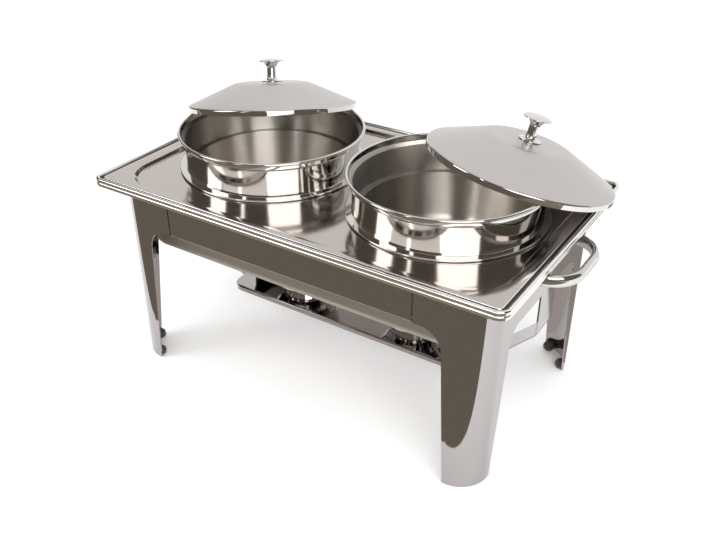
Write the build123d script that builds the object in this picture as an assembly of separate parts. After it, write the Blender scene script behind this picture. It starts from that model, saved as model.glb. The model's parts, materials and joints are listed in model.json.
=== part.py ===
import os
from math import atan, cos, degrees, radians, sin, sqrt, tan

from build123d import *

# Rim outline shared by the adapter plate and the water pan, in mm
rim_length = 530.0
rim_width = 325.0
rim_corner = 18.0
rim_height = 250.0
roll_radius = 2.5
rim_lead = 3.0
drawn_sheet = 1.0

# Clearances between loose pieces and between fixed pieces
seat_gap = 0.3
joint_gap = 0.2
thread_gap = 0.1

# Adapter plate with two round openings
plate_flange_drop = 4.0
ridge_inset = 8.3
ridge_rise = 2.2
recess_drop = 2.5
recess_slope = 11.2
recess_floor_corner = 8.0
pot_end_gap = 31.05
hole_clearance = 3.0
hole_lip = 6.0

# Water pan
pan_flange_drop = 1.5
pan_end_inset = 33.0
pan_side_inset = 24.5
pan_mouth_corner = 42.0
pan_draft = 7.0
pan_base_height = 161.0
pan_bend = 14.0
pan_mouth_bend = 3.0

# Pots
pot_rise = 40.0
pot_body_radius = 98.0
pot_base_height = 178.0
pot_bend = 14.0
ring_radius = 113.6
ring_height = 2.5
ring_edge = 0.8
pot_wall_radius = 105.5
collar_radius = 110.3
collar_drop = 8.0
neck_drop = 11.0
pot_roll_radius = 1.85

# Lids, leaning on the pot rims and the back of the plate
lid_radius = 108.5
lid_skirt = 6.8
lid_skirt_bend = 3.0
lid_shoulder_radius = 46.0
lid_shoulder_height = 34.0
lid_shoulder_bend = 30.0
lid_height = 35.0
lid_reach = 194.5
lid_heading = 53.0
lid_lift = 0.95
lid_dip = 0.87

# Lid knobs and their screws
knob_base_radius = 14.0
knob_base_edge = 1.2
knob_neck_radius = 6.5
knob_neck_start = 4.6
knob_neck_end = 14.6
knob_top_radius = 16.5
knob_height = 25.0
knob_lip = 2.6
knob_lip_edge = 1.0
knob_screw_radius = 2.4
knob_screw_length = 12.0
screw_head_radius = 4.5
screw_head_height = 2.8
screw_slot_width = 1.2
screw_slot_depth = 1.0
screw_head_bevel = 0.9

# Stand sheet, legs and aprons
stand_sheet = 1.5
stand_end_inset = 21.0
stand_side_inset = 15.0
stand_corner = 36.0
sheet_foot = 0.8
seam_inset = 82.0
seam_gap = 1.5
apron_return = 5.5
front_apron_height = 45.4
side_apron_height = 59.4
front_flange_top = 50.0
front_flange_foot = 37.7
front_fillet = 26.0
side_flange_top = 60.0
side_flange_foot = 38.0
side_fillet = 20.0

# Rails between the end frames
rail_hem = 4.5
rail_bend = 2.0
tab_length = 24.0
tab_height = 33.0
tab_joggle = 2.6

# Weld studs and nuts inside the aprons
stud_radius = 2.0
stud_spare = 0.8
nut_flats = 7.0
nut_height = 3.2
tab_stud_inset = 12.0
tab_stud_pitch = 18.0

# Side handles
handle_reach = 40.3
handle_span = 100.0
handle_drop = 14.8357
handle_bar_width = 9.0
handle_bar_height = 14.0
handle_bend = 34.0
handle_screw_radius = 2.4
handle_screw_depth = 12.0

# Hanger straps
strap_sheet = 2.0
strap_width = 44.0
strap_offset = 16.0
strap_drop = 7.8357
strap_bend_height = 124.0
strap_bend = 6.0
strap_foot_x = 148.0
strap_knee_x = 181.0
strap_stud_drop = 31.8357
strap_stud_pitch = 24.0

# Burner shelf
shelf_length = 350.0
shelf_width = 86.0
shelf_top = 66.0
shelf_lip = 7.0
shelf_corner = 14.0
shelf_offset = 8.0
shelf_rivet_x = 160.0
shelf_rivet_pitch = 26.0
shelf_rivet_radius = 2.0
shelf_rivet_head = 4.0

# Burners
burner_x = 83.0
burner_foot_radius = 28.5
burner_neck_radius = 23.0
burner_foot_height = 15.0
burner_foot_toe = 2.5
burner_neck_height = 4.0
cup_radius = 42.0
cup_height = 34.0
cup_bend = 6.0
cup_hem = 2.0
cover_clearance = 0.5
cover_skirt = 6.0
cover_opening = 16.0
damper_radius = 19.0
damper_sheet = 1.2
damper_pivot = 29.0
damper_swing = 70.0
damper_ear = 6.0
damper_tab_width = 11.0
damper_tab_length = 10.0
damper_tab_rise = 8.0
pivot_radius = 1.7
pivot_head_radius = 4.0
pivot_head_height = 1.6

# Bumper feet
foot_radius = 7.0
foot_depth = 10.0
foot_nose = 4.0
foot_nose_width = 3.2
foot_root = 4.0
foot_height = 6.5
foot_past_edge = 1.5
foot_stud_radius = 1.5
foot_stud_length = 5.0

# Lengths that follow from the rim
pot_spacing = rim_length - 2 * (pot_end_gap + ring_radius)
pan_mouth_length = rim_length - 2 * pan_end_inset
pan_mouth_width = rim_width - 2 * pan_side_inset
stand_length = rim_length - 2 * stand_end_inset
stand_width = rim_width - 2 * stand_side_inset
half_length = stand_length / 2
half_width = stand_width / 2
seam_x = half_length - seam_inset
lid_offset = lid_reach - lid_radius

# Heights that follow from the stack of seats
plate_roll_height = rim_height - roll_radius
lip_nest = sqrt((roll_radius + seat_gap) ** 2 - (roll_radius - drawn_sheet) ** 2)
pan_roll_height = plate_roll_height - roll_radius - lip_nest
flange_inset = 2 * roll_radius + rim_lead / 2
plate_flange = rim_height - plate_flange_drop
plate_floor = plate_flange - recess_drop
pan_flange = pan_roll_height - pan_flange_drop
apron_top = pan_flange - drawn_sheet - seat_gap
front_apron_edge = apron_top - front_apron_height
side_apron_edge = apron_top - side_apron_height
pot_seat = plate_floor + seat_gap
pot_rim = rim_height + pot_rise
hole_radius = pot_body_radius + hole_clearance
handle_height = apron_top - handle_drop
strap_top = apron_top - strap_drop
strap_stud_height = apron_top - strap_stud_drop


def bent_line(points, bends):
    edges = []
    last = Vector(*points[0])
    for i in range(1, len(points) - 1):
        corner = Vector(*points[i])
        back = (Vector(*points[i - 1]) - corner).normalized()
        ahead = (Vector(*points[i + 1]) - corner).normalized()
        start = corner
        end = corner
        if bends[i] > 0.01:
            half = radians(back.get_angle(ahead)) / 2
            start = corner + back * (bends[i] / tan(half))
            end = corner + ahead * (bends[i] / tan(half))
            middle = corner + (back + ahead).normalized() * (bends[i] / sin(half) - bends[i])
        if (start - last).length > 0.001:
            edges.append(Edge.make_line(last, start))
        if bends[i] > 0.01:
            edges.append(Edge.make_three_point_arc(start, middle, end))
        last = end
    edges.append(Edge.make_line(last, Vector(*points[-1])))
    return edges


# One surface of a bent sheet moved to its left by the sheet thickness
def moved_line(points, bends, thickness):
    moved = []
    radii = []
    for i in range(len(points)):
        before = points[i] if i == 0 else points[i - 1]
        after = points[i] if i == len(points) - 1 else points[i + 1]
        here = Vector(*points[i])
        go_in = (here - Vector(*before)) if i > 0 else (Vector(*after) - here)
        go_out = (Vector(*after) - here) if i < len(points) - 1 else go_in
        go_in = go_in.normalized()
        go_out = go_out.normalized()
        left_in = Vector(-go_in.Y, go_in.X)
        left_out = Vector(-go_out.Y, go_out.X)
        shift = (left_in + left_out).normalized()
        moved.append(here + shift * (thickness / shift.dot(left_in)))
        turn = go_in.X * go_out.Y - go_in.Y * go_out.X
        radius = bends[i] - thickness if turn > 0 else bends[i] + thickness
        radii.append(max(radius, 0.0) if bends[i] > 0 else 0.0)
    return [(p.X, p.Y) for p in moved], radii


# Cross-section of a bent sheet, lying to the left of the listed run
def sheet_face(points, bends, thickness):
    other, radii = moved_line(points, bends, thickness)
    edges = bent_line(points, bends) + bent_line(other, radii)
    edges.append(Edge.make_line(Vector(*points[0]), Vector(*other[0])))
    edges.append(Edge.make_line(Vector(*points[-1]), Vector(*other[-1])))
    return Face(Wire(edges))


def turned(face):
    return revolve(Plane.XZ * face, Axis.Z)


def rounded_plate(length, width, corner, bottom, top):
    return extrude(Plane.XY.offset(bottom) * RectangleRounded(length, width, corner), top - bottom)


def inset_outline(inset, corner, height):
    length = rim_length - 2 * inset
    width = rim_width - 2 * inset
    return Plane.XY.offset(height) * RectangleRounded(length, width, corner)


# Rim turned over and down, with the first part of the flange, swept round the outline
def turned_rim(roll_height, flange):
    inner = roll_radius - drawn_sheet
    low = roll_height - roll_radius
    lead = 2 * roll_radius + rim_lead
    under = flange - drawn_sheet
    wide = 2 * roll_radius
    across = [
        Vector(0, roll_height),
        Vector(roll_radius, roll_height + roll_radius),
        Vector(wide, roll_height),
    ]
    back = [
        Vector(wide - drawn_sheet, roll_height),
        Vector(roll_radius, roll_height + inner),
        Vector(drawn_sheet, roll_height),
    ]
    legs = [across[2], (wide, flange), (lead, flange), (lead, under), (wide - drawn_sheet, under), back[0]]
    edges = [Edge.make_three_point_arc(*across), Edge.make_three_point_arc(*back)]
    for run in (legs, [back[2], (drawn_sheet, low), (0, low), across[0]]):
        for start, end in zip(run[:-1], run[1:]):
            edges.append(Edge.make_line(Vector(*start), Vector(*end)))
    front = Plane(origin=(0, -rim_width / 2, 0), x_dir=(0, 1, 0), z_dir=(1, 0, 0))
    return sweep(front * Face(Wire(edges)), path=rim_path())


def rim_path():
    x = rim_length / 2
    y = rim_width / 2
    c = rim_corner
    corners = [(x - c, c - y, -90), (x - c, y - c, 0), (c - x, y - c, 90), (c - x, c - y, 180)]
    edges = []
    last = Vector(0, -y)
    for cx, cy, start in corners:
        turns = [radians(start + step) for step in (0, 45, 90)]
        arc = [Vector(cx + c * cos(a), cy + c * sin(a)) for a in turns]
        edges.append(Edge.make_line(last, arc[0]))
        edges.append(Edge.make_three_point_arc(*arc))
        last = arc[2]
    edges.append(Edge.make_line(last, Vector(0, -y)))
    return Wire(edges)


def inset_slab(inset, corner, bottom, top):
    return extrude(inset_outline(inset, corner, bottom), top - bottom)


# Groove inside the roll, a ridge, and a dished floor with a lip round each opening
def adapter_plate():
    ridge_top = plate_flange + ridge_rise
    ridge_corner = rim_corner - ridge_inset
    floor_inset = ridge_inset + recess_slope
    under = plate_flange - drawn_sheet
    inner = ridge_inset + drawn_sheet
    flange = inset_slab(flange_inset, rim_corner - flange_inset, under, plate_flange)
    wall = inset_slab(ridge_inset, ridge_corner, under, ridge_top - drawn_sheet / 2)
    core = inset_slab(inner, ridge_corner - drawn_sheet, under - 1, ridge_top + 1)
    dish = inset_slab(ridge_inset, ridge_corner, ridge_top - drawn_sheet, ridge_top)
    dish += loft([
        inset_outline(ridge_inset, ridge_corner, ridge_top - drawn_sheet),
        inset_outline(floor_inset, recess_floor_corner, plate_floor - drawn_sheet),
    ])
    dish -= loft([
        inset_outline(ridge_inset, ridge_corner, ridge_top),
        inset_outline(floor_inset, recess_floor_corner, plate_floor),
    ])
    plate = dish + (flange + wall - core)
    spots = [Pos(side * pot_spacing / 2, 0, plate_floor - hole_lip) for side in (-1, 1)]
    for spot in spots:
        plate += spot * extrude(Circle(hole_radius + drawn_sheet), hole_lip - drawn_sheet / 2)
    for spot in spots:
        plate -= spot * extrude(Circle(hole_radius), 2 * hole_lip, both=True)
    return plate + turned_rim(plate_roll_height, plate_flange)


def pan_body(shrink, base, bend):
    levels = []
    for height, inset in ((base, shrink + pan_draft), (pan_flange, shrink)):
        length = pan_mouth_length - 2 * inset
        width = pan_mouth_width - 2 * inset
        levels.append(Plane.XY.offset(height) * RectangleRounded(length, width, pan_mouth_corner - inset))
    body = loft(levels)
    return fillet(body.faces().sort_by(Axis.Z)[0].edges(), bend)


def water_pan():
    flange = inset_outline(flange_inset, rim_corner - flange_inset, pan_flange - drawn_sheet)
    pan = extrude(flange, drawn_sheet) + pan_body(0, pan_base_height, pan_bend)
    under = pan_flange - drawn_sheet
    crease = [e for e in pan.edges() if abs(e.center().Z - under) < 0.01]
    crease = [e for e in crease if abs(e.center().X) < pan_mouth_length / 2 + 1]
    crease = ShapeList(e for e in crease if abs(e.center().Y) < pan_mouth_width / 2 + 1)
    pan = fillet(crease, pan_mouth_bend)
    pan -= pan_body(drawn_sheet, pan_base_height + drawn_sheet, pan_bend - drawn_sheet)
    return pan + turned_rim(pan_roll_height, pan_flange)


# Drawn body, ring that sits on the plate, straight wall, flared collar and a turned rim
def pot():
    seat = pot_seat
    low = [(0, pot_base_height), (pot_body_radius, pot_base_height), (pot_body_radius, seat + drawn_sheet)]
    high = [
        (pot_wall_radius, seat + drawn_sheet),
        (pot_wall_radius, pot_rim - neck_drop),
        (collar_radius, pot_rim - collar_drop),
        (collar_radius, pot_rim - pot_roll_radius),
    ]
    body = turned(sheet_face(low, [0, pot_bend, 0], drawn_sheet))
    wall = turned(sheet_face(high, [0, 0, 0, 0], drawn_sheet))
    bore = pot_body_radius - drawn_sheet
    ring = [
        (bore, seat),
        (ring_radius - ring_edge, seat),
        (ring_radius, seat + ring_edge),
        (ring_radius, seat + ring_height - ring_edge),
        (ring_radius - ring_edge, seat + ring_height),
        (pot_wall_radius - drawn_sheet / 2, seat + ring_height),
        (pot_wall_radius - drawn_sheet, seat + ring_height / 2),
        (bore, seat + ring_height / 2),
    ]
    shell = body + turned(Face(Wire.make_polygon([Vector(*p) for p in ring]))) + wall
    lip_in = collar_radius - drawn_sheet
    lip_out = lip_in + 2 * pot_roll_radius
    lip_low = pot_rim - pot_roll_radius
    foot = lip_low - pot_roll_radius
    crown = Vector(lip_in + pot_roll_radius, pot_rim)
    lip = [Edge.make_three_point_arc(Vector(lip_in, lip_low), crown, Vector(lip_out, lip_low))]
    run = [(lip_out, lip_low), (lip_out, foot), (lip_in, foot), (lip_in, lip_low)]
    for start, end in zip(run[:-1], run[1:]):
        lip.append(Edge.make_line(Vector(*start), Vector(*end)))
    return shell + turned(Face(Wire(lip)))


def lid_shell():
    points = [
        (lid_radius, 0),
        (lid_radius, lid_skirt),
        (lid_shoulder_radius, lid_shoulder_height),
        (knob_screw_radius + joint_gap, lid_height),
    ]
    return turned(sheet_face(points, [0, lid_skirt_bend, lid_shoulder_bend, 0], drawn_sheet))


# Base disc, straight neck, flare and a crowned top disc
def knob():
    neck = knob_neck_radius
    base = lid_height + joint_gap
    top = base + knob_height
    start = base + knob_neck_start
    end = base + knob_neck_end
    edge = base + knob_base_edge
    lip = top - knob_lip
    rim = lip + knob_lip_edge
    sag = top - rim
    dome = (knob_top_radius ** 2 + sag ** 2) / (2 * sag)
    crown = top - dome + sqrt(dome ** 2 - knob_top_radius ** 2 / 4)
    foot_middle = Vector(neck + 0.3 * (knob_base_radius - neck), edge + 0.3 * (start - edge))
    flare_middle = Vector(neck + 0.3 * (knob_top_radius - neck), end + 0.7 * (lip - end))
    outline = [
        Edge.make_line(Vector(0, base), Vector(knob_base_radius, base)),
        Edge.make_line(Vector(knob_base_radius, base), Vector(knob_base_radius, edge)),
        Edge.make_three_point_arc(Vector(knob_base_radius, edge), foot_middle, Vector(neck, start)),
        Edge.make_line(Vector(neck, start), Vector(neck, end)),
        Edge.make_three_point_arc(Vector(neck, end), flare_middle, Vector(knob_top_radius, lip)),
        Edge.make_line(Vector(knob_top_radius, lip), Vector(knob_top_radius, rim)),
        Edge.make_three_point_arc(
            Vector(knob_top_radius, rim), Vector(knob_top_radius / 2, crown), Vector(0, top)
        ),
        Edge.make_line(Vector(0, top), Vector(0, base)),
    ]
    body = turned(Face(Wire(outline)))
    bore = Pos(0, 0, base - 1) * extrude(Circle(knob_screw_radius + thread_gap), knob_screw_length + 1)
    return body - bore


def knob_screw():
    under = lid_height - drawn_sheet - joint_gap
    length = knob_screw_length + drawn_sheet + 2 * joint_gap - 1.0
    shank = Pos(0, 0, under) * extrude(Circle(knob_screw_radius), length)
    head = Pos(0, 0, under - screw_head_height) * extrude(Circle(screw_head_radius), screw_head_height)
    head = chamfer(head.edges().sort_by(Axis.Z)[0], screw_head_bevel)
    slot = Box(screw_slot_width, 3 * screw_head_radius, 2 * screw_slot_depth)
    return shank + (head - Pos(0, 0, under - screw_head_height) * slot)


# Lean of a lid whose skirt meets the pot rim at two points and the plate roll at one
def lid_place(side):
    pot_roll_circle = collar_radius - drawn_sheet + pot_roll_radius
    meet = (lid_offset ** 2 + pot_roll_circle ** 2 - lid_radius ** 2) / (2 * lid_offset)
    reach = lid_radius - (meet - lid_offset)
    lean = atan((pot_rise + lid_dip) / reach)
    for step in range(4):
        reach = lid_radius * cos(lean) - (meet - lid_offset)
        lean = atan((pot_rise + lid_dip) / reach)
    height = pot_rim + (meet - lid_offset) * tan(lean) + lid_lift
    heading = lid_heading if side > 0 else 180 - lid_heading
    x = side * pot_spacing / 2 + lid_offset * cos(radians(heading))
    y = lid_offset * sin(radians(heading))
    return Pos(x, y, height) * Rot(0, 0, heading) * Rot(0, degrees(lean), 0)


# Opening between two legs on one face, wider at the floor
def window(top, foot, edge, bend):
    points = [(-foot, 0), (-top, edge), (top, edge), (foot, 0)]
    face = Sketch() + Face(Wire.make_polygon([Vector(*p) for p in points]))
    return fillet(face.vertices().group_by(Axis.Y)[-1], bend)


def end_frame():
    shell = rounded_plate(stand_length, stand_width, stand_corner, sheet_foot, apron_top)
    shell -= rounded_plate(stand_length - 2 * stand_sheet, stand_width - 2 * stand_sheet,
                           stand_corner - stand_sheet, 0, apron_top - stand_sheet)
    shell -= rounded_plate(stand_length - 2 * apron_return, stand_width - 2 * apron_return,
                           stand_corner - apron_return, 0, apron_top + 1)
    shell = fillet(shell.faces().sort_by(Axis.Z)[-1].outer_wire().edges(), stand_sheet - 0.3)
    keep = Box(stand_length, 2 * stand_width, 2 * apron_top)
    shell = shell & (Pos(seam_x + stand_length / 2, 0, apron_top / 2) * keep)
    top = half_length - front_flange_top
    front = window(top, half_length - front_flange_foot, front_apron_edge, front_fillet)
    shell -= extrude(Plane.XZ * front, stand_width, both=True)
    top = half_width - side_flange_top
    side = window(top, half_width - side_flange_foot, side_apron_edge, side_fillet)
    shell -= Pos(half_length, 0, 0) * extrude(Plane.YZ * side, 2 * stand_corner, both=True)
    for y in (-handle_span / 2, handle_span / 2):
        axis = Plane(origin=(half_length, y, handle_height), z_dir=(1, 0, 0))
        shell -= extrude(axis * Circle(handle_screw_radius + 2 * joint_gap), 4, both=True)
    for place in tab_stud_places() + strap_stud_places():
        shell += place * extrude(Circle(stud_radius), stud_length(place) + 0.5)
    for place in foot_places():
        shell += place * Pos(0, 0, -0.5) * extrude(Circle(foot_stud_radius), foot_stud_length + 0.5)
    return shell


# Stud axes point inward from just inside the sheet, on the right-hand end
def tab_stud_places():
    x = seam_x + tab_stud_inset
    middle = (apron_top + front_apron_edge) / 2
    places = []
    for side in (-1, 1):
        for z in (middle - tab_stud_pitch / 2, middle + tab_stud_pitch / 2):
            y = side * (half_width - stand_sheet + 0.5)
            places.append(Location(Plane(origin=(x, y, z), x_dir=(1, 0, 0), z_dir=(0, -side, 0))))
    return places


def strap_stud_places():
    x = half_length - stand_sheet + 0.5
    places = []
    for y in (strap_offset - strap_stud_pitch / 2, strap_offset + strap_stud_pitch / 2):
        spot = (x, y, strap_stud_height)
        places.append(Location(Plane(origin=spot, x_dir=(0, 1, 0), z_dir=(-1, 0, 0))))
    return places


def stud_length(place):
    sheet = strap_sheet if place.position.Z == strap_stud_height else stand_sheet
    return sheet + 2 * joint_gap + nut_height + stud_spare


# Bumper feet stand on the inner faces of both flanges of each leg
def foot_places():
    along_x = half_length - front_flange_foot + foot_radius - foot_past_edge
    along_y = half_width - side_flange_foot + foot_radius - foot_past_edge
    places = []
    for side in (-1, 1):
        spot = (along_x, side * (half_width - stand_sheet), foot_height)
        places.append(Location(Plane(origin=spot, x_dir=(1, 0, 0), z_dir=(0, -side, 0))))
        spot = (half_length - stand_sheet, side * along_y, foot_height)
        places.append(Location(Plane(origin=spot, x_dir=(0, 1, 0), z_dir=(-1, 0, 0))))
    return places


def foot():
    body = Pos(0, 0, -foot_root) * extrude(Circle(foot_radius), foot_depth + foot_root)
    body = chamfer(body.edges().sort_by(Axis.Z)[-1], foot_nose, foot_nose_width)
    bore = extrude(Circle(foot_stud_radius + thread_gap), foot_root + foot_stud_length + 1)
    return body - Pos(0, 0, -foot_root) * bore


def foot_pads():
    shrink = stand_sheet + joint_gap
    length = stand_length - 2 * shrink
    width = stand_width - 2 * shrink
    hollow = rounded_plate(length, width, stand_corner - shrink, 0, stand_width)
    right = [(place * foot()) & hollow for place in foot_places()]
    return right + [mirror(pad, about=Plane.YZ) for pad in right]


def rail(side):
    outer = half_width
    inner = outer - apron_return
    hem = outer - rail_hem
    low = front_apron_edge
    points = [(-inner, apron_top), (-outer, apron_top), (-outer, low), (-hem, low)]
    channel = sheet_face(points, [0, rail_bend, rail_bend, 0], stand_sheet)
    length = 2 * seam_x - 2 * seam_gap
    body = Pos(-length / 2, 0, 0) * extrude(Plane.YZ * channel, length)
    tab_face = stand_sheet + joint_gap
    end = seam_x - seam_gap
    run = [
        (end - 8.0, -outer), (end - tab_joggle, -outer), (end, -outer + tab_face),
        (seam_x + tab_length, -outer + tab_face),
    ]
    tab = extrude(sheet_face(run, [0, 0.8, 0.8, 0], stand_sheet), tab_height)
    tab = Pos(0, 0, (apron_top + front_apron_edge - tab_height) / 2) * tab
    for place in tab_stud_places():
        if place.position.Y < 0:
            tab -= place * extrude(Circle(stud_radius + joint_gap), 10)
    body = body + tab + mirror(tab, about=Plane.YZ)
    return body if side < 0 else mirror(body, about=Plane.XZ)


def nut():
    body = extrude(RegularPolygon(nut_flats / 2, 6, major_radius=False), nut_height)
    return body - extrude(Circle(stud_radius + thread_gap), nut_height)


def stand_nuts():
    right = []
    for place in tab_stud_places():
        right.append(place * Pos(0, 0, 0.5 + stand_sheet + 2 * joint_gap) * nut())
    for place in strap_stud_places():
        right.append(place * Pos(0, 0, 0.5 + strap_sheet + 2 * joint_gap) * nut())
    return right + [mirror(piece, about=Plane.YZ) for piece in right]


def handle():
    start = half_length + joint_gap
    out = half_length + handle_reach
    half = handle_span / 2
    points = [(start, -half), (out, -half), (out, half), (start, half)]
    path = Wire(bent_line(points, [0, handle_bend, handle_bend, 0]))
    section = Ellipse(handle_bar_width / 2, handle_bar_height / 2)
    bar = sweep(Plane(origin=(start, -half, 0), x_dir=(0, 1, 0), z_dir=(1, 0, 0)) * section, path=path)
    for y in (-half, half):
        hole = Plane(origin=(start - 1, y, 0), z_dir=(1, 0, 0)) * Circle(handle_screw_radius + thread_gap)
        bar -= extrude(hole, handle_screw_depth + 1)
    return Pos(0, 0, handle_height) * bar


def handle_screws():
    inside = half_length - stand_sheet - joint_gap
    pieces = []
    for y in (-handle_span / 2, handle_span / 2):
        axis = Plane(origin=(inside, y, handle_height), z_dir=(1, 0, 0))
        shank = extrude(axis * Circle(handle_screw_radius), stand_sheet + handle_screw_depth - 1)
        head = extrude(axis * Circle(screw_head_radius), -screw_head_height)
        head = chamfer(head.edges().sort_by(Axis.X)[0], screw_head_bevel)
        slot = Box(2 * screw_slot_depth, screw_slot_width, 3 * screw_head_radius)
        pieces.append(shank + (head - Pos(inside - screw_head_height, y, handle_height) * slot))
    return pieces + [mirror(piece, about=Plane.YZ) for piece in pieces]


def hanger_strap():
    outer = half_length - stand_sheet - joint_gap
    foot_under = shelf_top - stand_sheet - joint_gap
    low = foot_under - strap_sheet
    points = [(strap_foot_x, low), (strap_knee_x, low), (outer, strap_bend_height), (outer, strap_top)]
    strip = sheet_face(points, [0, strap_bend, strap_bend, 0], strap_sheet)
    strap = Pos(0, strap_offset + strap_width / 2, 0) * extrude(Plane.XZ * strip, strap_width)
    for place in strap_stud_places():
        strap -= place * extrude(Circle(stud_radius + joint_gap), 10)
    for y in shelf_rivet_rows():
        hole = Pos(shelf_rivet_x, y, foot_under - 10) * extrude(Circle(shelf_rivet_radius + thread_gap), 20)
        strap -= hole
    return strap


def shelf_rivet_rows():
    return (strap_offset - shelf_rivet_pitch / 2, strap_offset + shelf_rivet_pitch / 2)


def burner_shelf():
    half = shelf_width / 2
    low = shelf_top - shelf_lip
    points = [(half, low), (half, shelf_top), (-half, shelf_top), (-half, low)]
    channel = sheet_face(points, [0, 2.0, 2.0, 0], stand_sheet)
    shelf = Pos(-shelf_length / 2, shelf_offset, 0) * extrude(Plane.YZ * channel, shelf_length)
    outline = rounded_plate(shelf_length, shelf_width, shelf_corner, low - 1, shelf_top + 1)
    shelf = shelf & (Pos(0, shelf_offset, 0) * outline)
    for x in (-shelf_rivet_x, shelf_rivet_x):
        for y in shelf_rivet_rows():
            shelf -= Pos(x, y, low) * extrude(Circle(shelf_rivet_radius + thread_gap), 2 * shelf_lip)
    return shelf


def shelf_rivets():
    grip = stand_sheet + strap_sheet + 2 * joint_gap
    bottom = shelf_top + joint_gap / 2 - grip - joint_gap
    pieces = []
    for x in (-shelf_rivet_x, shelf_rivet_x):
        for y in shelf_rivet_rows():
            shank = extrude(Circle(shelf_rivet_radius), grip + joint_gap)
            head = Pos(0, 0, grip + joint_gap) * extrude(Circle(shelf_rivet_head), 1.8)
            head = chamfer(head.edges().sort_by(Axis.Z)[-1], 1.1)
            tail = Pos(0, 0, -1.0) * extrude(Circle(shelf_rivet_head - 1.0), 1.0)
            pieces.append(Pos(x, y, bottom) * (shank + head + tail))
    return pieces


def burner_cup():
    base = shelf_top + seat_gap
    floor = base + burner_foot_height
    top = floor + cup_height
    points = [(0, floor), (cup_radius - cup_bend, floor), (cup_radius, floor + cup_bend), (cup_radius, top)]
    cup = turned(sheet_face(points, [0, 0, 0, 0], drawn_sheet))
    hem = turned(Pos(cup_radius - drawn_sheet, top - cup_hem / 2) * Rectangle(2 * drawn_sheet, cup_hem))
    skirt = [
        (burner_foot_radius + burner_foot_toe, base),
        (burner_foot_radius, base),
        (burner_neck_radius, floor - burner_neck_height),
        (burner_neck_radius, floor + drawn_sheet / 2),
    ]
    pedestal = turned(sheet_face(skirt, [0, 0, 0, 0], -drawn_sheet))
    return cup + hem + pedestal


def cover_height():
    return shelf_top + seat_gap + burner_foot_height + cup_height + joint_gap


def burner_cover():
    under = cover_height()
    wide = cup_radius + cover_clearance + drawn_sheet
    top = under + drawn_sheet
    points = [(wide, under - cover_skirt), (wide, top), (cover_opening, top)]
    cover = turned(sheet_face(points, [0, 0, 0], drawn_sheet))
    return cover - Pos(damper_pivot, 0, under - 1) * extrude(Circle(pivot_radius + thread_gap), 4)


def damper():
    level = cover_height() + drawn_sheet + seat_gap
    disc = Circle(damper_radius)
    ear = Pos(damper_pivot, 0) * Circle(damper_ear)
    link = Pos(damper_pivot / 2, 0) * Rectangle(damper_pivot, 1.6 * damper_ear)
    reach = damper_radius + damper_tab_length
    tab = Pos(-reach / 2, 0) * Rectangle(reach, damper_tab_width)
    blade = extrude(disc + ear + link + tab, damper_sheet)
    blade -= Pos(damper_pivot, 0, -1) * extrude(Circle(pivot_radius + seat_gap), 4)
    grip = Box(damper_sheet, damper_tab_width, damper_tab_rise)
    blade += Pos(-reach + damper_sheet / 2, 0, damper_tab_rise / 2) * grip
    return Pos(damper_pivot, 0, level) * Rot(0, 0, damper_swing) * Pos(-damper_pivot, 0, 0) * blade


def damper_pivot_rivet():
    under = cover_height() - joint_gap
    grip = drawn_sheet + damper_sheet + joint_gap + 2 * seat_gap
    shank = extrude(Circle(pivot_radius), grip)
    head = Pos(0, 0, grip) * extrude(Circle(pivot_head_radius), pivot_head_height)
    head = chamfer(head.edges().sort_by(Axis.Z)[-1], 0.9)
    tail = Pos(0, 0, -pivot_head_height) * extrude(Circle(pivot_head_radius - 0.6), pivot_head_height)
    return Pos(damper_pivot, 0, under) * (shank + head + tail)


def save(shape, name):
    export_step(shape, "parts/" + name + ".step")


def save_group(pieces, name):
    solids = [solid for piece in pieces for solid in piece.solids()]
    export_step(Compound(children=solids), "parts/" + name + ".step")


def both_sides(shape, name):
    save(shape, name + "_right")
    save(mirror(shape, about=Plane.YZ), name + "_left")


os.makedirs("parts", exist_ok=True)
both_sides(end_frame(), "end_frame")
save(rail(-1), "front_rail")
save(rail(1), "back_rail")
save_group(stand_nuts(), "stand_nuts")
save_group(foot_pads(), "foot_pads")
both_sides(handle(), "side_handle")
save_group(handle_screws(), "handle_screws")
both_sides(hanger_strap(), "hanger_strap")
save(burner_shelf(), "burner_shelf")
save_group(shelf_rivets(), "shelf_rivets")
save(water_pan(), "water_pan")
save(adapter_plate(), "adapter_plate")
for side, name in ((-1, "left"), (1, "right")):
    save(Pos(side * pot_spacing / 2, 0, 0) * pot(), "pot_" + name)
    place = lid_place(side)
    save(place * lid_shell(), "lid_" + name)
    save(place * knob(), "lid_knob_" + name)
    save(place * knob_screw(), "knob_screw_" + name)
    spot = Pos(side * burner_x, shelf_offset, 0)
    save(spot * burner_cup(), "burner_cup_" + name)
    save(spot * burner_cover(), "burner_cover_" + name)
    save(spot * damper(), "damper_" + name)
    save(spot * damper_pivot_rivet(), "damper_pivot_" + name)
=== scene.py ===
import json
import math

import bmesh
import bpy
from mathutils import Matrix, Vector


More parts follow.
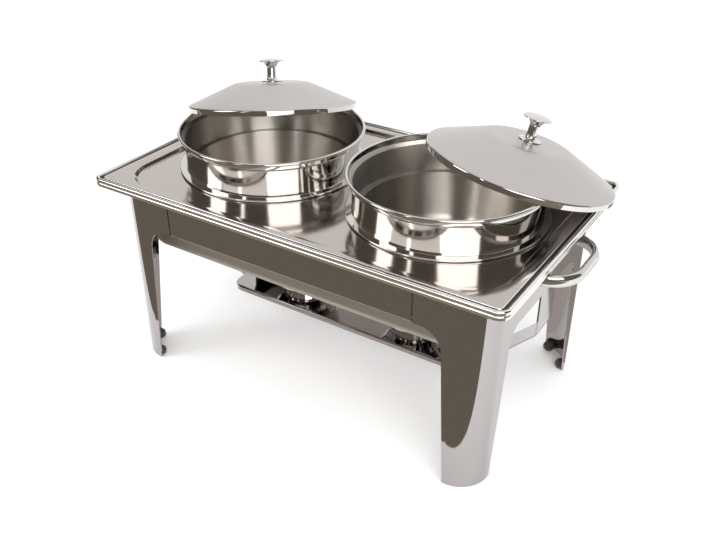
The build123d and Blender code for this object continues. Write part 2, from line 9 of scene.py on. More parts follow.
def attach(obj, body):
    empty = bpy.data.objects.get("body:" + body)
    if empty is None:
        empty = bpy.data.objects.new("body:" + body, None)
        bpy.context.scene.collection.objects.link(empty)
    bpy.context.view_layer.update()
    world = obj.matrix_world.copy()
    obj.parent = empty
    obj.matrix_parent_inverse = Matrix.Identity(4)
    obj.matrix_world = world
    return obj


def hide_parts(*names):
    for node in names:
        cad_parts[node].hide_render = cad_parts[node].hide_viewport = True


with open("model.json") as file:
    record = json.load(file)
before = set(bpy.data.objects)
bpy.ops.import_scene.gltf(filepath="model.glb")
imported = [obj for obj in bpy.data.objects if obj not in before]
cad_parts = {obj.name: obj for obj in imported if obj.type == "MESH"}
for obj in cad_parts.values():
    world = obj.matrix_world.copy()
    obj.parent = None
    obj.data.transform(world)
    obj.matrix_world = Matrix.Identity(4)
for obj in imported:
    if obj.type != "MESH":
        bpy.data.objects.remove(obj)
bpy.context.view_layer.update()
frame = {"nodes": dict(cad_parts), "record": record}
nodes = frame["nodes"]
scene = bpy.context.scene
mm = 0.001  # sizes below are in millimetres unless a note says otherwise
print("frame loaded:", len(nodes), "nodes")


# ways to make a surface

# corner points given as (a, b, bend radius) become a run with small arcs
def softRun(points, steps=5):
    largestShare = 0.48  # of a side that one arc may take
    run = []
    for i, point in enumerate(points):
        here = Vector(point[:2])
        radius = point[2] if len(point) > 2 else 0
        if radius == 0 or i in (0, len(points) - 1):
            run.append(tuple(here))
            continue
        back = Vector(points[i - 1][:2]) - here
        ahead = Vector(points[i + 1][:2]) - here
        half = back.angle(ahead) / 2
        cut = min(radius / math.tan(half), largestShare * back.length, largestShare * ahead.length)
        radius = cut * math.tan(half)
        back.normalize()
        ahead.normalize()
        centre = here + (back + ahead).normalized() * (radius / math.sin(half))
        start = here + back * cut - centre
        end = here + ahead * cut - centre
        turn = start.angle_signed(end)
        for k in range(steps + 1):
            spoke = start.copy()
            spoke.rotate(Matrix.Rotation(-turn * k / steps, 2))
            run.append(tuple(centre + spoke))
    return run


def arcRun(centre, radius, startDegrees, endDegrees, steps):
    run = []
    for k in range(steps + 1):
        a = math.radians(startDegrees + (endDegrees - startDegrees) * k / steps)
        run.append((centre[0] + radius * math.cos(a), centre[1] + radius * math.sin(a)))
    return run


# faces smooth, edges sharper than the angle stay crisp
def shadeByAngle(bm, degrees):
    bmesh.ops.recalc_face_normals(bm, faces=bm.faces)
    for face in bm.faces:
        face.smooth = True
    for edge in bm.edges:
        if len(edge.link_faces) == 2:
            edge.smooth = edge.calc_face_angle() < math.radians(degrees)


def finishMesh(name, bm, degrees=38, inward=False):
    shadeByAngle(bm, degrees)
    if inward:
        bmesh.ops.reverse_faces(bm, faces=bm.faces)
    mesh = bpy.data.meshes.new(name)
    bm.to_mesh(mesh)
    bm.free()
    piece = bpy.data.objects.new(name, mesh)
    scene.collection.objects.link(piece)
    return piece


# turn a (radius, height) outline about Z; a closed outline joins its ends
def spinOutline(bm, outline, segments, closed=True, place=Matrix.Identity(4)):
    rings = []
    for radius, height in outline:
        if radius < 0.001:
            rings.append([bm.verts.new(place @ Vector((0, 0, height * mm)))])
            continue
        ring = []
        for k in range(segments):
            a = 2 * math.pi * k / segments
            spot = Vector((radius * math.cos(a), radius * math.sin(a), height)) * mm
            ring.append(bm.verts.new(place @ spot))
        rings.append(ring)
    pairs = list(zip(rings, rings[1:] + rings[:1]))
    for first, second in pairs if closed else pairs[:-1]:
        for k in range(segments):
            n = (k + 1) % segments
            corners = [first[k % len(first)], first[n % len(first)], second[n % len(second)], second[k % len(second)]]
            corners = list(dict.fromkeys(corners))
            if len(corners) > 2:
                bm.faces.new(corners)
    return rings


# rounded rectangle loop (half length, half width, corner, height)
def rectLoop(bm, halfLength, halfWidth, corner, height, steps):
    ring = []
    for sx, sy, start in ((1, -1, -90), (1, 1, 0), (-1, 1, 90), (-1, -1, 180)):
        cx = sx * (halfLength - corner)
        cy = sy * (halfWidth - corner)
        for x, y in arcRun((cx, cy), corner, start, start + 90, steps):
            ring.append(bm.verts.new(Vector((x, y, height)) * mm))
    return ring


def joinLoops(bm, rings):
    for first, second in zip(rings, rings[1:]):
        for k in range(len(first)):
            n = (k + 1) % len(first)
            bm.faces.new((first[k], first[n], second[n], second[k]))


def ringEdges(bm, ring):
    return [bm.edges.get((ring[k], ring[(k + 1) % len(ring)])) for k in range(len(ring))]


# finishes

# one steel with brushing, cloudy polish and a tint that drifts a little
def steelFinish(look):
    material = bpy.data.materials.new(look["name"])
    material.use_nodes = True
    tree = material.node_tree
    shader = tree.nodes["Principled BSDF"]
    link = tree.links.new
    coords = tree.nodes.new("ShaderNodeTexCoord")
    vector = coords.outputs["Object"]
    if "place" in look:  # a leaning piece is brushed in its own upright frame
        upright = tree.nodes.new("ShaderNodeMapping")
        upright.vector_type = "TEXTURE"
        upright.inputs["Location"].default_value = look["place"].to_translation()
        upright.inputs["Rotation"].default_value = look["place"].to_euler()
        link(vector, upright.inputs["Vector"])
        vector = upright.outputs[0]
    if look["brush"] == "round":  # brushing runs round the Z axis
        split = tree.nodes.new("ShaderNodeSeparateXYZ")
        flat = tree.nodes.new("ShaderNodeCombineXYZ")
        length = tree.nodes.new("ShaderNodeVectorMath")
        length.operation = "LENGTH"
        angle = tree.nodes.new("ShaderNodeMath")
        angle.operation = "ARCTAN2"
        join = tree.nodes.new("ShaderNodeCombineXYZ")
        link(vector, split.inputs[0])
        link(split.outputs["X"], flat.inputs["X"])
        link(split.outputs["Y"], flat.inputs["Y"])
        link(flat.outputs[0], length.inputs[0])
        link(split.outputs["Y"], angle.inputs[0])
        link(split.outputs["X"], angle.inputs[1])
        link(angle.outputs[0], join.inputs["X"])
        link(length.outputs["Value"], join.inputs["Y"])
        link(split.outputs["Z"], join.inputs["Z"])
        vector = join.outputs[0]
    stretch = tree.nodes.new("ShaderNodeMapping")
    stretch.inputs["Scale"].default_value = look["grainScale"]
    link(vector, stretch.inputs["Vector"])
    grain = tree.nodes.new("ShaderNodeTexNoise")
    grain.inputs["Scale"].default_value = 1.0
    grain.inputs["Detail"].default_value = 3.0
    grain.inputs["Roughness"].default_value = 0.6
    link(stretch.outputs[0], grain.inputs["Vector"])
    cloud = tree.nodes.new("ShaderNodeTexNoise")
    cloud.inputs["Scale"].default_value = look["cloudScale"]
    cloud.inputs["Detail"].default_value = 2.0
    link(coords.outputs["Object"], cloud.inputs["Vector"])
    tone = tree.nodes.new("ShaderNodeValToRGB")
    tone.color_ramp.elements[0].position = 0.3
    tone.color_ramp.elements[1].position = 0.7
    tone.color_ramp.elements[0].color = (*[c * (1 - look["tintSwing"]) for c in look["tint"]], 1)
    tone.color_ramp.elements[1].color = (*look["tint"], 1)
    link(grain.outputs["Fac"], tone.inputs["Fac"])
    link(tone.outputs["Color"], shader.inputs["Base Color"])
    mixed = tree.nodes.new("ShaderNodeMath")
    mixed.operation = "MULTIPLY_ADD"
    mixed.inputs[1].default_value = 0.5
    link(grain.outputs["Fac"], mixed.inputs[0])
    half = tree.nodes.new("ShaderNodeMath")
    half.operation = "MULTIPLY"
    half.inputs[1].default_value = 0.5
    link(cloud.outputs["Fac"], half.inputs[0])
    link(half.outputs[0], mixed.inputs[2])
    polish = tree.nodes.new("ShaderNodeMapRange")
    polish.inputs["From Min"].default_value = 0.3
    polish.inputs["From Max"].default_value = 0.7
    polish.inputs["To Min"].default_value = look["rough"] * (1 - look["roughSwing"])
    polish.inputs["To Max"].default_value = look["rough"] * (1 + look["roughSwing"])
    link(mixed.outputs[0], polish.inputs["Value"])
    link(polish.outputs[0], shader.inputs["Roughness"])
    bump = tree.nodes.new("ShaderNodeBump")
    bump.inputs["Strength"].default_value = look["bump"]
    bump.inputs["Distance"].default_value = look["bumpDepth"] * mm
    link(grain.outputs["Fac"], bump.inputs["Height"])
    link(bump.outputs[0], shader.inputs["Normal"])
    shader.inputs["Metallic"].default_value = 1.0
    if look.get("anisotropic"):
        shader.inputs["Anisotropic"].default_value = look["anisotropic"]
        shader.inputs["Anisotropic Rotation"].default_value = 0.25  # light spreads across the brushing
        tangent = tree.nodes.new("ShaderNodeTangent")
        tangent.direction_type = "RADIAL"
        tangent.axis = "Z"
        link(tangent.outputs[0], shader.inputs["Tangent"])
    return material


def rubberFinish(look):
    material = bpy.data.materials.new(look["name"])
    material.use_nodes = True
    tree = material.node_tree
    shader = tree.nodes["Principled BSDF"]
    link = tree.links.new
    coords = tree.nodes.new("ShaderNodeTexCoord")
    speck = tree.nodes.new("ShaderNodeTexNoise")
    speck.inputs["Scale"].default_value = look["speckScale"]
    speck.inputs["Detail"].default_value = 4.0
    link(coords.outputs["Object"], speck.inputs["Vector"])
    tone = tree.nodes.new("ShaderNodeValToRGB")
    tone.color_ramp.elements[0].color = (*look["dark"], 1)
    tone.color_ramp.elements[1].color = (*look["pale"], 1)
    link(speck.outputs["Fac"], tone.inputs["Fac"])
    link(tone.outputs["Color"], shader.inputs["Base Color"])
    bump = tree.nodes.new("ShaderNodeBump")
    bump.inputs["Strength"].default_value = look["bump"]
    bump.inputs["Distance"].default_value = look["bumpDepth"] * mm
    link(speck.outputs["Fac"], bump.inputs["Height"])
    link(bump.outputs[0], shader.inputs["Normal"])
    shader.inputs["Roughness"].default_value = look["rough"]
    return material


finishes = {
    "stand": steelFinish({"name": "standMirror", "tint": (0.42, 0.395, 0.396), "tintSwing": 0.05, "rough": 0.055,
                          "roughSwing": 0.4, "brush": "straight", "grainScale": (30, 30, 900), "cloudScale": 9,
                          "bump": 0.02, "bumpDepth": 0.05}),
    "pan": steelFinish({"name": "panPolish", "tint": (0.47, 0.44, 0.39), "tintSwing": 0.06, "rough": 0.42,
                        "roughSwing": 0.2, "brush": "straight", "grainScale": (40, 40, 1100), "cloudScale": 12,
                        "bump": 0.04, "bumpDepth": 0.05}),
    "plateFloor": steelFinish({"name": "plateSatin", "tint": (0.515, 0.472, 0.447), "tintSwing": 0.06, "rough": 0.12,
                               "roughSwing": 0.25, "brush": "straight", "grainScale": (14, 1200, 1200),
                               "cloudScale": 10, "bump": 0.05, "bumpDepth": 0.04}),
    # painted highlight: the rolled rim and border take a much brighter tint than the floor of the same sheet
    "plateRim": steelFinish({"name": "plateRimPolish", "tint": (0.82, 0.80, 0.775), "tintSwing": 0.05, "rough": 0.11,
                             "roughSwing": 0.35, "brush": "straight", "grainScale": (25, 25, 1200), "cloudScale": 14,
                             "bump": 0.02, "bumpDepth": 0.04}),
    # painted shade: a near-black tint darkens the narrow groove beside the rolled rim
    "groove": steelFinish({"name": "grooveTarnish", "tint": (0.10, 0.088, 0.075), "tintSwing": 0.3, "rough": 0.45,
                           "roughSwing": 0.2, "brush": "straight", "grainScale": (60, 60, 900), "cloudScale": 40,
                           "bump": 0.05, "bumpDepth": 0.05}),
    "potOutside": steelFinish({"name": "potPolish", "tint": (0.648, 0.63, 0.605), "tintSwing": 0.04, "rough": 0.07,
                               "roughSwing": 0.35, "brush": "round", "grainScale": (3, 900, 900), "cloudScale": 16,
                               "bump": 0.03, "bumpDepth": 0.04}),
    "potInside": steelFinish({"name": "potSatin", "tint": (0.40, 0.372, 0.34), "tintSwing": 0.10, "rough": 0.33,
                              "roughSwing": 0.15, "brush": "round", "grainScale": (2, 1400, 1400), "cloudScale": 14,
                              "bump": 0.03, "bumpDepth": 0.03, "anisotropic": 1.0}),
    "handle": steelFinish({"name": "handlePolish", "tint": (0.63, 0.61, 0.59), "tintSwing": 0.05, "rough": 0.11,
                           "roughSwing": 0.3, "brush": "straight", "grainScale": (60, 60, 700), "cloudScale": 20,
                           "bump": 0.03, "bumpDepth": 0.04}),
    "burner": steelFinish({"name": "burnerPolish", "tint": (0.60, 0.58, 0.56), "tintSwing": 0.06, "rough": 0.10,
                           "roughSwing": 0.35, "brush": "round", "grainScale": (3, 800, 800), "cloudScale": 25,
                           "bump": 0.03, "bumpDepth": 0.04}),
    "fastener": steelFinish({"name": "fastenerSteel", "tint": (0.52, 0.51, 0.50), "tintSwing": 0.12, "rough": 0.28,
                             "roughSwing": 0.3, "brush": "straight", "grainScale": (300, 300, 300), "cloudScale": 90,
                             "bump": 0.05, "bumpDepth": 0.05}),
    "foot": rubberFinish({"name": "footRubber", "dark": (0.024, 0.015, 0.011), "pale": (0.065, 0.044, 0.033),
                          "speckScale": 420, "rough": 0.42, "bump": 0.15, "bumpDepth": 0.2}),
}
lidLooks = {
    "lidDome": {"name": "lidSatin", "tint": (0.585, 0.553, 0.535), "tintSwing": 0.07, "rough": 0.34,
                "roughSwing": 0.15, "brush": "round", "grainScale": (2, 1500, 1500), "cloudScale": 12, "bump": 0.06,
                "bumpDepth": 0.04},
    "lidSkirt": {"name": "lidSkirtMirror", "tint": (0.66, 0.64, 0.62), "tintSwing": 0.03, "rough": 0.05,
                 "roughSwing": 0.3, "brush": "round", "grainScale": (3, 700, 700), "cloudScale": 20, "bump": 0.02,
                 "bumpDepth": 0.03},
    "knob": {"name": "knobChrome", "tint": (0.70, 0.69, 0.68), "tintSwing": 0.03, "rough": 0.05, "roughSwing": 0.4,
             "brush": "round", "grainScale": (3, 500, 500), "cloudScale": 60, "bump": 0.02, "bumpDepth": 0.03},
}
lid = {"radius": 108.5, "skirt": 6.8, "shoulderRadius": 46.0, "shoulderHeight": 34.0, "shoulderBend": 30.0,
       "height": 35.0, "sheet": 1.0, "edge": 0.3, "skirtBend": 2.6, "hole": 3.0, "offset": 86.0, "heading": 53.0,
       "lean": 15.8457, "centreZ": 279.7057, "potX": 120.35, "segments": 160}


def lidPlace(side):  # each lid leans outwards and back off its pot
    heading = math.radians(lid["heading"] if side > 0 else 180 - lid["heading"])
    spot = Vector((side * lid["potX"] + lid["offset"] * math.cos(heading), lid["offset"] * math.sin(heading),
                   lid["centreZ"])) * mm
    return (Matrix.Translation(spot) @ Matrix.Rotation(heading, 4, "Z")
            @ Matrix.Rotation(math.radians(lid["lean"]), 4, "Y"))


for side, name in ((-1, "left"), (1, "right")):
    for part, look in lidLooks.items():
        own = dict(look, name=look["name"] + name.capitalize(), place=lidPlace(side))
        finishes[part + name.capitalize()] = steelFinish(own)
print("finishes made:", len(finishes))


# the CAD pieces that keep their own shape
slotFinish = {"stand_steel": "stand", "pan_steel": "pan", "plate_steel": "plateFloor", "pot_steel": "potOutside",
              "lid_steel": "lidDome", "handle_steel": "handle", "knob_chrome": "knob", "burner_steel": "burner",
              "fastener_steel": "fastener", "foot_rubber": "foot"}
for row in frame["record"]["subparts"]:
    piece = nodes[row["node"]]
    piece.data.materials.clear()
    finish = slotFinish[row["material_slot"]]
    if finish in lidLooks:
        finish += "Left" if row["node"].endswith("left") else "Right"
    piece.data.materials.append(finishes[finish])
print("CAD pieces finished")


# adapter plate: rolled rim, groove, ridge, a level border, a step and a floor with two round openings
plate = {"length": 530.0, "width": 325.0, "corner": 13.0, "rollZ": 247.5, "roll": 2.5, "sheet": 1.0, "flangeZ": 246.0,
         "ridgeInset": 8.3, "ridgeZ": 248.2, "browInset": 24.0, "browZ": 247.6, "footInset": 26.4, "floorZ": 243.5,
         "floorStart": 6.0, "grooveStart": 4.95, "potX": 120.35, "hole": 101.0, "holeLip": 6.0, "holeCollar": 2.5,
         "cornerSteps": 14, "holeSegments": 128}
# inset at the ends, inset at the sides, corner
plateStations = [(8.3, 8.3, 4.7), (9.2, 9.2, 5.5), (24.0, 18.5, 46.0), (26.4, 20.9, 47.0), (33.5, 28.0, 42.0)]


def rimRun(rollZ, roll, sheet, flangeZ):  # (inset, height) over the roll and back under it
    over = arcRun((roll, rollZ), roll, 0, 180, 12)
    under = arcRun((roll, rollZ), roll - sheet, 180, 0, 10)
    low = rollZ - roll
    edge = 0.3  # blunting of the sheet's cut edge
    cutEdge = [(0.0, low + edge), (edge, low), (sheet - edge, low), (sheet, low + edge)]
    return over, cutEdge + under, flangeZ - sheet


def plateLoop(inset, z):
    p = plate
    side, corner = inset, p["corner"] - inset
    for first, second in zip(plateStations, plateStations[1:]):
        if inset > first[0]:
            share = min((inset - first[0]) / (second[0] - first[0]), 1)
            side = first[1] + share * (second[1] - first[1])
            corner = first[2] + share * (second[2] - first[2])
    return (p["length"] / 2 - inset, p["width"] / 2 - side, corner, z)


def rimInset(x, y):  # how far a point lies inside the rounded outline
    p = plate
    qx = abs(x) - (p["length"] / 2 - p["corner"])
    qy = abs(y) - (p["width"] / 2 - p["corner"])
    return p["corner"] - math.hypot(max(qx, 0), max(qy, 0)) - min(max(qx, qy), 0)


def makePlate():
    p = plate
    bm = bmesh.new()
    over, under, underZ = rimRun(p["rollZ"], p["roll"], p["sheet"], p["flangeZ"])
    ridge = p["ridgeInset"]
    brow = p["browInset"]
    foot = p["footInset"]
    floorZ = p["floorZ"]
    backZ = floorZ - p["sheet"]
    start = foot + p["floorStart"]
    top = softRun([(start, floorZ), (foot, floorZ, 0.9), (brow, p["browZ"], 0.8), (ridge + 0.4, p["ridgeZ"], 0.9),
                   (ridge, p["flangeZ"], 0.3), (2 * p["roll"] + 0.2, p["flangeZ"], 0.5), over[0]], 4)
    back = softRun([under[-1], (2 * p["roll"] - p["sheet"], underZ, 0.5), (ridge + 0.7, underZ, 0.2),
                    (ridge + 1.0, p["ridgeZ"] - 1.2, 0.2), (brow - 0.6, p["browZ"] - 1.0, 1.0),
                    (foot + 0.2, backZ, 1.0), (start, backZ)], 4)
    run = top + over[1:] + under + back[1:]
    rings = [rectLoop(bm, *plateLoop(inset, z), p["cornerSteps"]) for inset, z in run]
    joinLoops(bm, rings)
    floorRings = {"top": [rings[0]], "under": [rings[-1]]}
    hole = p["hole"]
    lipZ = floorZ - p["holeLip"]
    collar = hole + p["holeCollar"]
    lip = softRun([(collar, floorZ), (hole, floorZ, 1.4), (hole, lipZ), (hole + p["sheet"], lipZ),
                   (hole + p["sheet"], backZ, 0.4), (collar, backZ)], 4)
    for side in (-1, 1):
        place = Matrix.Translation((side * p["potX"] * mm, 0, 0))
        turns = spinOutline(bm, lip, p["holeSegments"], closed=False, place=place)
        floorRings["top"].append(turns[0])
        floorRings["under"].append(turns[-1])
    for loops in floorRings.values():
        edges = [edge for ring in loops for edge in ringEdges(bm, ring)]
        bmesh.ops.triangle_fill(bm, edges=edges, use_beauty=True)
    piece = finishMesh("plateVisual", bm)
    for finish in ("plateFloor", "plateRim", "groove"):
        piece.data.materials.append(finishes[finish])
    for face in piece.data.polygons:
        c = face.center / mm
        inset = rimInset(c.x, c.y)
        # the rim and border take the brighter tint, a painted highlight
        face.material_index = 1 if inset < ridge + 1.5 else 0
        # faces in the groove take the near-black tint, painted shade in the crease
        inGroove = p["grooveStart"] < inset < ridge + 0.15 and c.z < p["ridgeZ"] - 0.5
        if inGroove and face.normal.z > -0.5:  # the upper side only
            face.material_index = 2
    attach(piece, "adapter_plate")
    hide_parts("adapter_plate")
    rimGroup.objects.link(piece)


rimGroup = bpy.data.collections.new("rimGroup")  # one lamp shines on these alone
makePlate()
print("plate made")


# water pan: the same rolled rim one step lower, a narrow flange and a drawn bowl
pan = {"rollZ": 242.636, "flangeZ": 241.136, "mouthLength": 464.0, "mouthWidth": 276.0, "mouthCorner": 42.0,
       "mouthBend": 3.0, "draft": 7.0, "baseZ": 161.0, "bend": 14.0, "flangeReach": 6.0, "baseReach": 60.0,
       "smallestCorner": 6.0}


def panLoop(shrink, z):  # shrink is measured from the mouth
    corner = max(pan["mouthCorner"] - shrink, pan["smallestCorner"])
    return (pan["mouthLength"] / 2 - shrink, pan["mouthWidth"] / 2 - shrink, corner, z)


def makePan():
    p = pan
    sheet = plate["sheet"]
    steps = plate["cornerSteps"]
    bm = bmesh.new()
    over, under, underZ = rimRun(p["rollZ"], plate["roll"], sheet, p["flangeZ"])
    floorZ = p["baseZ"] + sheet
    bowlIn = softRun([(-p["flangeReach"], p["flangeZ"]), (sheet, p["flangeZ"], p["mouthBend"] + sheet),
                      (sheet + p["draft"], floorZ, p["bend"] - sheet), (p["baseReach"], floorZ)], 6)
    bowlOut = softRun([(p["baseReach"], p["baseZ"]), (p["draft"], p["baseZ"], p["bend"]), (0, underZ, p["mouthBend"]),
                       (-p["flangeReach"], underZ)], 6)
    rim = [(2 * plate["roll"] + 0.2, p["flangeZ"])] + over + under + [(2 * plate["roll"] - sheet, underZ)]
    rings = [rectLoop(bm, *panLoop(shrink, z), steps) for shrink, z in reversed(bowlIn)]
    for inset, z in rim:
        rings.append(rectLoop(bm, plate["length"] / 2 - inset, plate["width"] / 2 - inset, plate["corner"] - inset, z,
                              steps))
    rings += [rectLoop(bm, *panLoop(shrink, z), steps) for shrink, z in reversed(bowlOut)]
    joinLoops(bm, rings)
    bm.faces.new(rings[0])
    bm.faces.new(rings[-1])
    piece = finishMesh("panVisual", bm)
    piece.data.materials.append(finishes["pan"])
    piece.data.materials.append(finishes["plateRim"])
    for face in piece.data.polygons:
        c = face.center / mm
        # the rolled rim takes the brighter plate-rim tint, a painted highlight
        face.material_index = 1 if rimInset(c.x, c.y) < 2 * plate["roll"] else 0
    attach(piece, "water_pan")
    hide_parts("water_pan")
    rimGroup.objects.link(piece)


makePan()
print("pan made")


# pots: drawn body, a ring that sits on the plate, a straight wall, a flared collar and a turned rim
pot = {"base": 178.0, "body": 98.0, "bend": 14.0, "seat": 243.8, "ring": 113.6, "ringHeight": 2.5, "edge": 0.9,
       "wall": 105.5, "neck": 279.0, "neckBend": 1.6, "collar": 110.3, "collarZ": 282.0, "collarBend": 1.0,
       "ledge": 245.1, "ledgeBend": 0.8, "rim": 290.0, "roll": 1.85, "rollFrom": -110, "sheet": 1.0, "segments": 160}


def makePot(side, name):
    p = pot
    s = p["sheet"]
    seat = p["seat"]
    ringTop = seat + p["ringHeight"]
    top = p["rim"] - p["roll"]
    rollCentre = (p["collar"] - s + p["roll"], top)
    outside = softRun([(0, p["base"]), (p["body"], p["base"], p["bend"]), (p["body"], seat, 1.0),
                       (p["ring"], seat, p["edge"]), (p["ring"], ringTop, p["edge"]), (p["wall"], ringTop, 0.6),
                       (p["wall"], p["neck"], p["neckBend"]), (p["collar"], p["collarZ"], p["collarBend"]),
                       (p["collar"], top - p["roll"])], 6)
    inside = softRun([(p["collar"] - s, top), (p["collar"] - s, p["collarZ"] + 0.5, p["collarBend"]),
                      (p["wall"] - s, p["neck"] + 0.5, p["neckBend"]), (p["wall"] - s, p["ledge"], p["ledgeBend"]),
                      (p["body"] - s, p["ledge"], p["ledgeBend"]), (p["body"] - s, p["base"] + s, p["bend"] - s),
                      (0, p["base"] + s)], 6)
    lip = arcRun(rollCentre, p["roll"], p["rollFrom"], 180, 14)
    split = next(i for i, spot in enumerate(inside) if spot[1] < p["collarZ"] + 0.4)  # the finish changes here
    runs = {"Outside": outside + lip + inside[1:split + 1], "Inside": inside[split:]}
    for part, run in runs.items():
        bm = bmesh.new()
        spinOutline(bm, run, p["segments"], closed=False)
        piece = finishMesh("pot" + part + name.capitalize(), bm, inward=part == "Inside")
        piece.location = (side * plate["potX"] * mm, 0, 0)
        piece.data.materials.append(finishes["pot" + part])
        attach(piece, "pot_" + name)
        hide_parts("pot_" + name)
        if part == "Inside":
            potInsides.objects.link(piece)


potInsides = bpy.data.collections.new("potInsides")  # some lamps shine on these alone
for side, name in ((-1, "left"), (1, "right")):
    makePot(side, name)
print("pots made")


# lids with a satin dome and a straight mirror skirt, and their chrome knobs
knob = {"base": 13.0, "baseEdge": 0.7, "neck": 6.3, "neckStart": 3.6, "neckEnd": 17.0, "top": 16.5, "height": 28.6,
        "lip": 4.0, "lipEdge": 1.0, "flare": 3.4, "flareDrop": 1.9, "crown": 0.72, "gap": 0.2, "segments": 72}


def makeLid(side, name):
    p = lid
    s = p["sheet"]
    edge = p["edge"]
    inner = p["radius"] - s
    outside = softRun([(p["radius"] - edge, 0), (p["radius"], edge), (p["radius"], p["skirt"], p["skirtBend"]),
                       (p["shoulderRadius"], p["shoulderHeight"], p["shoulderBend"]), (p["hole"], p["height"])], 10)
    inside = softRun([(p["hole"], p["height"] - s), (p["shoulderRadius"], p["shoulderHeight"] - s, p["shoulderBend"]),
                      (inner, p["skirt"] - s, p["skirtBend"] - s), (inner, edge), (inner + edge, 0)], 10)
    bm = bmesh.new()
    spinOutline(bm, outside + inside, p["segments"], closed=True)
    piece = finishMesh("lidVisual" + name.capitalize(), bm)
    piece.data.materials.append(finishes["lidDome" + name.capitalize()])
    piece.data.materials.append(finishes["lidSkirt" + name.capitalize()])
    for face in piece.data.polygons:
        face.material_index = 1 if face.center.z < (p["skirt"] - 0.2) * mm else 0
    piece.data.transform(lidPlace(side))
    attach(piece, "lid_" + name)
    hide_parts("lid_" + name)


def makeKnob(side, name):
    p = knob
    base = lid["height"] + p["gap"]
    top = base + p["height"]
    lip = top - p["lip"]
    outline = softRun([(0, base), (p["base"], base), (p["base"], base + p["baseEdge"], 0.5),
                       (p["neck"] + 1.6, base + 1.4, 2.0), (p["neck"], base + p["neckStart"], 3.0),
                       (p["neck"], base + p["neckEnd"] + 1.0, 6.0),
                       (p["neck"] + p["flare"], lip - p["flareDrop"], 5.0), (p["top"], lip, 0.5),
                       (p["top"], lip + p["lipEdge"], 0.7), (p["top"] * p["crown"], top - 1.0, 6.0), (0, top)], 6)
    bm = bmesh.new()
    spinOutline(bm, outline, p["segments"], closed=False)
    piece = finishMesh("knobVisual" + name.capitalize(), bm)
    piece.data.materials.append(finishes["knob" + name.capitalize()])
    piece.data.transform(lidPlace(side))
    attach(piece, "lid_" + name)
    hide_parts("lid_knob_" + name)


for side, name in ((-1, "left"), (1, "right")):
    makeLid(side, name)
    makeKnob(side, name)
print("lids and knobs made")


# camera at the photo's angle
view = {"place": (0.4911, -0.7576, 0.6773), "target": (0.1122, -0.1689, 0.250), "lens": 42.79, "sensor": 36.0,
        "reach": 60, "rollDegrees": 0.1}


def makeCamera():
    camera = bpy.data.objects.new("camera", bpy.data.cameras.new("camera"))
    scene.collection.objects.link(camera)
    camera.data.sensor_fit = "HORIZONTAL"
    camera.data.sensor_width = view["sensor"]
    camera.data.lens = view["lens"]
    camera.data.clip_end = view["reach"]
    camera.location = view["place"]
    look = (Vector(view["target"]) - Vector(view["place"])).to_track_quat("-Z", "Y")
    roll = Matrix.Rotation(math.radians(view["rollDegrees"]), 3, "Z").to_quaternion()
    camera.rotation_mode = "QUATERNION"
    camera.rotation_quaternion = look @ roll
    scene.camera = camera


makeCamera()
print("camera set")


# studio: pale floor, white surroundings, soft lamps, and dark cards that only the steel sees
studio = {"floorSize": 9.0, "floorColour": (0.99, 0.99, 0.99), "world": 1.02, "matHeight": 0.0006,
          "curtainRadius": 1.9, "curtainFoot": 0.001, "curtainHeight": 4.6, "curtainFrom": -112, "curtainTo": 118,
          "curtainSteps": 24, "curtainColour": (0.15, 0.132, 0.112), "lampAim": (0, 0, 0.22)}
cloth = {"speckScale": 170, "detail": 5.0, "from": 0.35, "to": 0.65, "swing": 0.08}
mats = {
    "frontMat": {"colour": (0.262, 0.234, 0.182),
                 "corners": [(-1.8, -1.8), (1.3, -1.8), (1.3, -0.205), (-1.8, -0.205)]},
    "backMat": {"colour": (0.40, 0.365, 0.33),
                "corners": [(0.262, 0.12), (0.47, 0.62), (0.05, 0.62), (0.05, 0.2)]},
    "underMat": {"colour": (0.70, 0.65, 0.61),
                 "corners": [(-0.225, -0.13), (0.225, -0.13), (0.225, 0.115), (-0.225, 0.115)]},
}
roomLamp = {"elevation": 30, "distance": 1.7, "mirrored": True}
potLamp = {"elevation": 42, "distance": 1.0, "mirrored": True, "only": "potInsides"}
lamps = [
    dict(roomLamp, name="mainBox", azimuth=46, size=(1.15, 0.95), power=12.0),
    dict(roomLamp, name="fillBox", azimuth=-46, size=(0.62, 0.95), power=6.5),
    dict(roomLamp, name="stripBox", azimuth=-10, size=(0.10, 0.95), power=1.05),
    {"name": "topBox", "azimuth": 180, "elevation": 78, "distance": 1.8, "size": (1.6, 1.2), "power": 5.0,
     "mirrored": False, "shadow": False},
    {"name": "rimBox", "azimuth": 5, "elevation": 24, "distance": 1.3, "size": (1.9, 0.9), "power": 8.0,
     "mirrored": True, "only": "rimGroup"},
    dict(potLamp, name="potMain", azimuth=49, size=(0.54, 1.02), power=21.0),
    dict(potLamp, name="potFill", azimuth=-46, size=(0.65, 1.02), power=10.0),
    dict(potLamp, name="potStrip", azimuth=-6, size=(0.08, 1.02), power=4.4),
    dict(potLamp, name="potSide", azimuth=93, size=(0.39, 1.02), power=11.0),
]


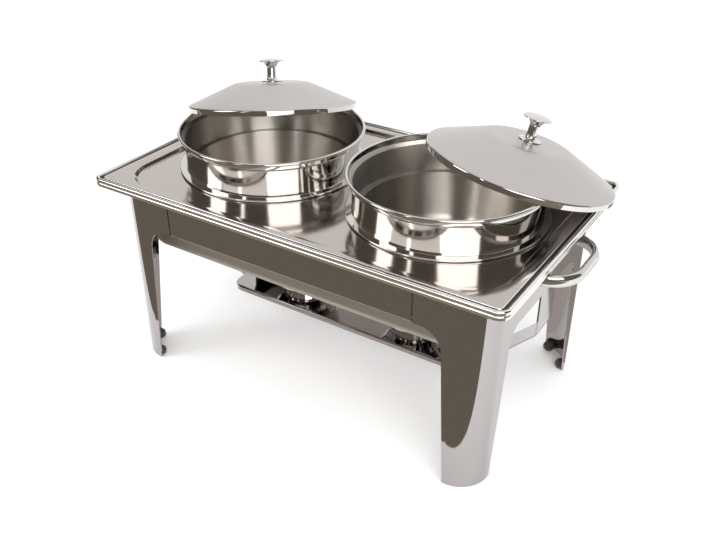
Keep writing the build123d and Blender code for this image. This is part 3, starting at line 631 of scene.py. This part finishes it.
def plainMaterial(name, colour, glow):
    material = bpy.data.materials.new(name)
    material.use_nodes = True
    tree = material.node_tree
    tree.nodes.clear()
    out = tree.nodes.new("ShaderNodeOutputMaterial")
    shader = tree.nodes.new("ShaderNodeEmission" if glow else "ShaderNodeBsdfDiffuse")
    shader.inputs["Color"].default_value = (*colour, 1)
    if glow:  # fine speckle, as on a woven cloth
        coords = tree.nodes.new("ShaderNodeTexCoord")
        speck = tree.nodes.new("ShaderNodeTexNoise")
        speck.inputs["Scale"].default_value = cloth["speckScale"]
        speck.inputs["Detail"].default_value = cloth["detail"]
        tone = tree.nodes.new("ShaderNodeValToRGB")
        tone.color_ramp.elements[0].position = cloth["from"]
        tone.color_ramp.elements[1].position = cloth["to"]
        tone.color_ramp.elements[0].color = (*[c * (1 - cloth["swing"]) for c in colour], 1)
        tone.color_ramp.elements[1].color = (*[c * (1 + cloth["swing"]) for c in colour], 1)
        tree.links.new(coords.outputs["Object"], speck.inputs["Vector"])
        tree.links.new(speck.outputs["Fac"], tone.inputs["Fac"])
        tree.links.new(tone.outputs["Color"], shader.inputs["Color"])
    tree.links.new(shader.outputs[0], out.inputs["Surface"])
    return material


def stagePiece(name, corners, faces, material, hidden):
    mesh = bpy.data.meshes.new(name)
    mesh.from_pydata(corners, [], faces)
    piece = bpy.data.objects.new(name, mesh)
    scene.collection.objects.link(piece)
    mesh.materials.append(material)
    if hidden:  # reflections only
        piece.visible_camera = False
        piece.visible_diffuse = False
        piece.visible_shadow = False
        piece.visible_transmission = False


def makeStudio():
    s = studio
    half = s["floorSize"] / 2
    square = [(-half, -half, 0), (half, -half, 0), (half, half, 0), (-half, half, 0)]
    stagePiece("floor", square, [(0, 1, 2, 3)], plainMaterial("floorPale", s["floorColour"], False), False)
    for name, mat in mats.items():
        corners = [(x, y, s["matHeight"]) for x, y in mat["corners"]]
        stagePiece(name, corners, [(0, 1, 2, 3)], plainMaterial(name + "Cloth", mat["colour"], True), True)
    steps = s["curtainSteps"]
    corners = []
    for k in range(steps + 1):
        a = math.radians(s["curtainFrom"] + (s["curtainTo"] - s["curtainFrom"]) * k / steps)
        x = s["curtainRadius"] * math.sin(a)
        y = -s["curtainRadius"] * math.cos(a)
        corners += [(x, y, s["curtainFoot"]), (x, y, s["curtainHeight"])]
    faces = [(2 * k, 2 * k + 2, 2 * k + 3, 2 * k + 1) for k in range(steps)]
    stagePiece("darkCurtain", corners, faces, plainMaterial("curtainTaupe", s["curtainColour"], True), True)
    for lamp in lamps:
        data = bpy.data.lights.new(lamp["name"], "AREA")
        data.shape = "RECTANGLE"
        data.size, data.size_y = lamp["size"]
        data.energy = lamp["power"]
        data.use_shadow = lamp.get("shadow", True)
        obj = bpy.data.objects.new(lamp["name"], data)
        scene.collection.objects.link(obj)
        a = math.radians(lamp["azimuth"])
        e = math.radians(lamp["elevation"])
        aim = Vector((math.sin(a) * math.cos(e), -math.cos(a) * math.cos(e), math.sin(e)))
        obj.location = Vector(s["lampAim"]) + aim * lamp["distance"]
        obj.rotation_euler = aim.to_track_quat("Z", "Y").to_euler()
        obj.visible_camera = False
        obj.visible_glossy = lamp["mirrored"]
        if "only" in lamp:
            obj.light_linking.receiver_collection = bpy.data.collections[lamp["only"]]
    world = bpy.data.worlds.new("studioWhite")
    scene.world = world
    world.use_nodes = True
    sky = world.node_tree.nodes["Background"]
    sky.inputs["Color"].default_value = (1, 1, 1, 1)
    sky.inputs["Strength"].default_value = s["world"]
    scene.view_settings.view_transform = "Standard"


makeStudio()
print("studio set")
